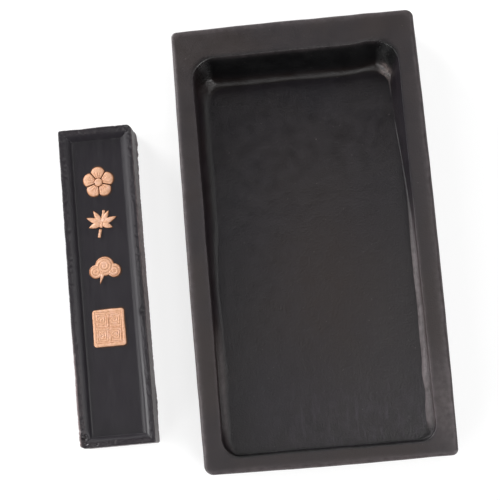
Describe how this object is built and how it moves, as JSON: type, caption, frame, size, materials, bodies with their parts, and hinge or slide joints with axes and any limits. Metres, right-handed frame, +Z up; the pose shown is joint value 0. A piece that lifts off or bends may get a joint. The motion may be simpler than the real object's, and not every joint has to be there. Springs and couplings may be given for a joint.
{
  "type": "ink stick and inkstone set",
  "caption": "Rectangular inkstone with a sloping grinding well that deepens to an ink pool, and a moulded ink stick with gilt relief lying beside it.",
  "frame": {"origin": "middle of the inkstone's flat underside", "axes": "+Z up, away from the table; +Y along the stone's long side, towards the deep pool end of its well; +X to the right, with the ink stick lying on the -X side"},
  "size_m": [0.1085, 0.13, 0.018],
  "materials": {
    "slate": "satin",
    "ink": "satin",
    "gilding": "satin"
  },
  "bodies": {
    "stone": {"inkstone": "slate"},
    "stick": {"ink_stick": "ink", "gilt_blossom": "gilding", "gilt_bamboo": "gilding", "gilt_cloud": "gilding", "gilt_seal": "gilding"}
  },
  "joints": [
    {"name": "stick_lift", "type": "slide", "parent": "stone", "child": "stick", "axis": [0, 0, 1], "range_m": [0, 0.1]}
  ]
}
